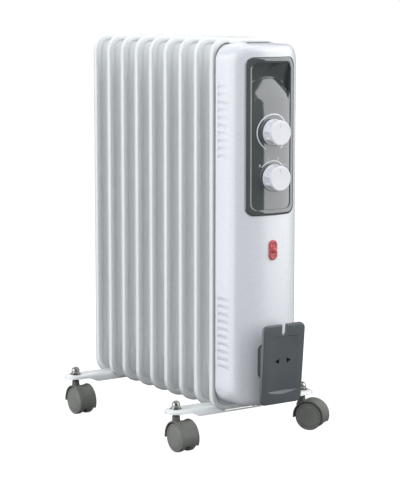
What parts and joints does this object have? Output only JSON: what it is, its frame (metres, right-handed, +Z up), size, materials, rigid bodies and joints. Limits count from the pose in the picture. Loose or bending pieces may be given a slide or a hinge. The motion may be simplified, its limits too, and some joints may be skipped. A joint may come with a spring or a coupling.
{
  "type": "oil filled radiator heater",
  "caption": "Upright oil filled radiator with pressed steel fins, a bowed control housing with two knobs, a cord winder and swivelling twin-wheel casters.",
  "frame": {"origin": "On the floor, midway between the four caster stems.", "axes": "+Z up; -Y towards the control housing, so the fins are stacked along Y; X runs across the fins, with +X on the right of someone who faces the controls."},
  "size_m": [0.2882, 0.4428, 0.6115],
  "materials": {
    "white_enamel": "white baked enamel, satin gloss",
    "white_housing": "white powder coat, smooth gloss",
    "zinc_steel": "zinc plated steel",
    "element_sheath": "dull steel sheath",
    "brass_plug": "turned brass",
    "gasket_rubber": "red silicone rubber",
    "ceramic_ivory": "ivory ceramic and tinned blades",
    "panel_gloss_grey": "polished grey plastic",
    "phenolic_brown": "brown phenolic moulding",
    "black_plastic": "black moulded plastic",
    "red_lens": "translucent red plastic",
    "lamp_body": "neon lamp and holder",
    "winder_grey": "dark grey plastic, fine satin grain",
    "white_knob": "white plastic, satin gloss",
    "dark_steel": "black phosphated steel",
    "chrome_nut": "bright nickel chrome",
    "caster_grey": "grey green moulded nylon",
    "caster_wheel_grey": "grey green moulded nylon"
  },
  "bodies": {
    "radiator": {"fin_1": "white_enamel", "fin_2": "white_enamel", "fin_3": "white_enamel", "fin_4": "white_enamel", "fin_5": "white_enamel", "fin_6": "white_enamel", "fin_7": "white_enamel", "fin_8": "white_enamel", "fin_9": "white_enamel", "upper_header_collars": "white_enamel", "lower_header_collars": "white_enamel", "filler_plug": "zinc_steel", "heating_element": "element_sheath", "element_plug": "brass_plug", "element_gasket": "gasket_rubber", "element_terminals": "ceramic_ivory", "housing_shell": "white_housing", "housing_back_plate": "zinc_steel", "top_clip": "white_enamel", "housing_screws": "zinc_steel", "control_panel": "panel_gloss_grey", "control_screws": "zinc_steel", "thermostat_body": "phenolic_brown", "selector_switch_body": "phenolic_brown", "thermal_cutout": "black_plastic", "tilt_switch": "black_plastic", "terminal_block": "ceramic_ivory", "pilot_lamp_lens": "red_lens", "pilot_lamp": "lamp_body", "cord_gland": "winder_grey", "cord_winder": "winder_grey", "winder_screws": "zinc_steel", "front_foot_bracket": "white_enamel", "rear_foot_bracket": "white_enamel", "front_u_bolt": "zinc_steel", "rear_u_bolt": "zinc_steel", "wing_nuts": "zinc_steel", "caster_stems": "dark_steel", "cap_nuts": "chrome_nut"},
    "thermostat_dial": {"thermostat_knob": "white_knob", "thermostat_spindle": "zinc_steel"},
    "selector_dial": {"selector_knob": "white_knob", "selector_spindle": "zinc_steel"},
    "front_left_swivel": {"front_left_hood": "caster_grey", "front_left_axle": "zinc_steel"},
    "front_left_wheel_left": {"front_left_wheel_a": "caster_wheel_grey"},
    "front_left_wheel_right": {"front_left_wheel_b": "caster_wheel_grey"},
    "front_right_swivel": {"front_right_hood": "caster_grey", "front_right_axle": "zinc_steel"},
    "front_right_wheel_left": {"front_right_wheel_a": "caster_wheel_grey"},
    "front_right_wheel_right": {"front_right_wheel_b": "caster_wheel_grey"},
    "rear_left_swivel": {"rear_left_hood": "caster_grey", "rear_left_axle": "zinc_steel"},
    "rear_left_wheel_left": {"rear_left_wheel_a": "caster_wheel_grey"},
    "rear_left_wheel_right": {"rear_left_wheel_b": "caster_wheel_grey"},
    "rear_right_swivel": {"rear_right_hood": "caster_grey", "rear_right_axle": "zinc_steel"},
    "rear_right_wheel_left": {"rear_right_wheel_a": "caster_wheel_grey"},
    "rear_right_wheel_right": {"rear_right_wheel_b": "caster_wheel_grey"}
  },
  "joints": [
    {"name": "thermostat_turn", "type": "hinge", "parent": "radiator", "child": "thermostat_dial", "pos_m": [0, -0.239, 0.4745], "axis": [0, -1, 0], "range_deg": [-150, 150]},
    {"name": "selector_turn", "type": "hinge", "parent": "radiator", "child": "selector_dial", "pos_m": [0, -0.239, 0.408], "axis": [0, -1, 0], "range_deg": [-51, 51]},
    {"name": "front_left_swivel_turn", "type": "hinge", "parent": "radiator", "child": "front_left_swivel", "pos_m": [-0.1181, -0.14825, 0.046], "axis": [0, 0, 1], "continuous": true},
    {"name": "front_left_wheel_left_spin", "type": "hinge", "parent": "front_left_swivel", "child": "front_left_wheel_left", "pos_m": [-0.1181, -0.16425, 0.0219], "axis": [1, 0, 0], "continuous": true},
    {"name": "front_left_wheel_right_spin", "type": "hinge", "parent": "front_left_swivel", "child": "front_left_wheel_right", "pos_m": [-0.1181, -0.16425, 0.0219], "axis": [1, 0, 0], "continuous": true},
    {"name": "front_right_swivel_turn", "type": "hinge", "parent": "radiator", "child": "front_right_swivel", "pos_m": [0.1181, -0.14825, 0.046], "axis": [0, 0, 1], "continuous": true},
    {"name": "front_right_wheel_left_spin", "type": "hinge", "parent": "front_right_swivel", "child": "front_right_wheel_left", "pos_m": [0.12658, -0.16182, 0.0219], "axis": [0.848, 0.5299, 0], "continuous": true},
    {"name": "front_right_wheel_right_spin", "type": "hinge", "parent": "front_right_swivel", "child": "front_right_wheel_right", "pos_m": [0.12658, -0.16182, 0.0219], "axis": [0.848, 0.5299, 0], "continuous": true},
    {"name": "rear_left_swivel_turn", "type": "hinge", "parent": "radiator", "child": "rear_left_swivel", "pos_m": [-0.1181, 0.14825, 0.046], "axis": [0, 0, 1], "continuous": true},
    {"name": "rear_left_wheel_left_spin", "type": "hinge", "parent": "rear_left_swivel", "child": "rear_left_wheel_left", "pos_m": [-0.1181, 0.13225, 0.0219], "axis": [1, 0, 0], "continuous": true},
    {"name": "rear_left_wheel_right_spin", "type": "hinge", "parent": "rear_left_swivel", "child": "rear_left_wheel_right", "pos_m": [-0.1181, 0.13225, 0.0219], "axis": [1, 0, 0], "continuous": true},
    {"name": "rear_right_swivel_turn", "type": "hinge", "parent": "radiator", "child": "rear_right_swivel", "pos_m": [0.1181, 0.14825, 0.046], "axis": [0, 0, 1], "continuous": true},
    {"name": "rear_right_wheel_left_spin", "type": "hinge", "parent": "rear_right_swivel", "child": "rear_right_wheel_left", "pos_m": [0.1181, 0.13225, 0.0219], "axis": [1, 0, 0], "continuous": true},
    {"name": "rear_right_wheel_right_spin", "type": "hinge", "parent": "rear_right_swivel", "child": "rear_right_wheel_right", "pos_m": [0.1181, 0.13225, 0.0219], "axis": [1, 0, 0], "continuous": true}
  ]
}
